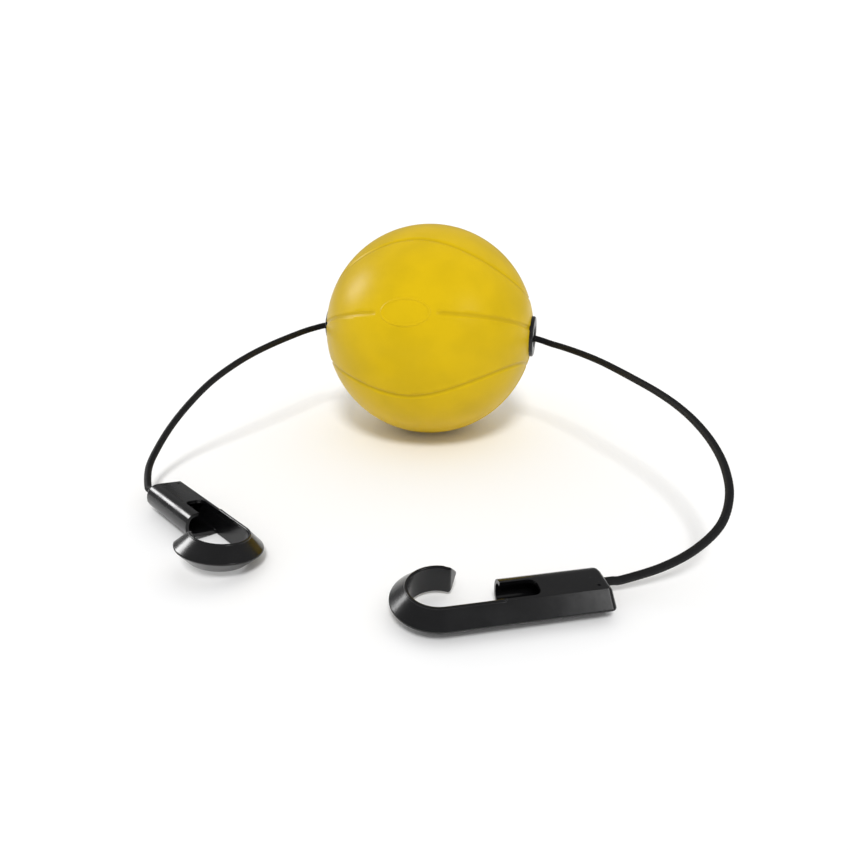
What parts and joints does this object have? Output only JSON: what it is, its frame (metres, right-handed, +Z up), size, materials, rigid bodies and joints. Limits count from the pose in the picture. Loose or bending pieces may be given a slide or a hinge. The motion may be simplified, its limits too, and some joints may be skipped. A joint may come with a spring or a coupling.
{
  "type": "reaction training ball",
  "caption": "Moulded rubber ball threaded on an elastic cord, with a moulded open J-hook knotted onto each end of the cord, for hand-eye reaction training.",
  "frame": {"origin": "the point of the floor under the ball's centre, where the ball rests", "axes": "+Z up, +X towards the ball's right side, +Y away from the two hooks, which lie on the floor on the -Y side"},
  "size_m": [0.2213, 0.222, 0.1],
  "materials": {
    "ball_rubber": "satin moulded yellow rubber",
    "tube_plastic": "plain extruded tube",
    "grommet_plastic": "glossy black",
    "cord": "braided black sheath over an elastic core",
    "hook_plastic": "glossy black moulding"
  },
  "bodies": {
    "cord_through_ball": {"cord_middle": "cord"},
    "ball": {"ball_shell": "ball_rubber", "core_tube": "tube_plastic", "left_grommet": "grommet_plastic", "right_grommet": "grommet_plastic"},
    "left_cord_stretch": {"cord_left": "cord", "left_knot": "cord"},
    "right_cord_stretch": {"cord_right": "cord", "right_knot": "cord"},
    "left_hook": {"left_hook": "hook_plastic"},
    "right_hook": {"right_hook": "hook_plastic"}
  },
  "joints": [
    {"name": "ball_spin", "type": "hinge", "parent": "cord_through_ball", "child": "ball", "pos_m": [0, 0, 0.05], "axis": [0.9711, -0.2385, 0], "continuous": true},
    {"name": "left_cord_swing", "type": "hinge", "parent": "cord_through_ball", "child": "left_cord_stretch", "pos_m": [-0.04467, 0.01097, 0.05], "axis": [0, 0, 1], "range_deg": [-24, 6]},
    {"name": "right_cord_swing", "type": "hinge", "parent": "cord_through_ball", "child": "right_cord_stretch", "pos_m": [0.04467, -0.01097, 0.05], "axis": [0, 0, 1], "range_deg": [-6, 24]},
    {"name": "left_hook_swivel", "type": "hinge", "parent": "left_cord_stretch", "child": "left_hook", "pos_m": [-0.1067, -0.09051, 0.00645], "axis": [-0.6884, 0.7254, 0], "continuous": true},
    {"name": "right_hook_swivel", "type": "hinge", "parent": "right_cord_stretch", "child": "right_hook", "pos_m": [0.05087, -0.14835, 0.00535], "axis": [0.9792, 0.2028, 0], "continuous": true}
  ]
}
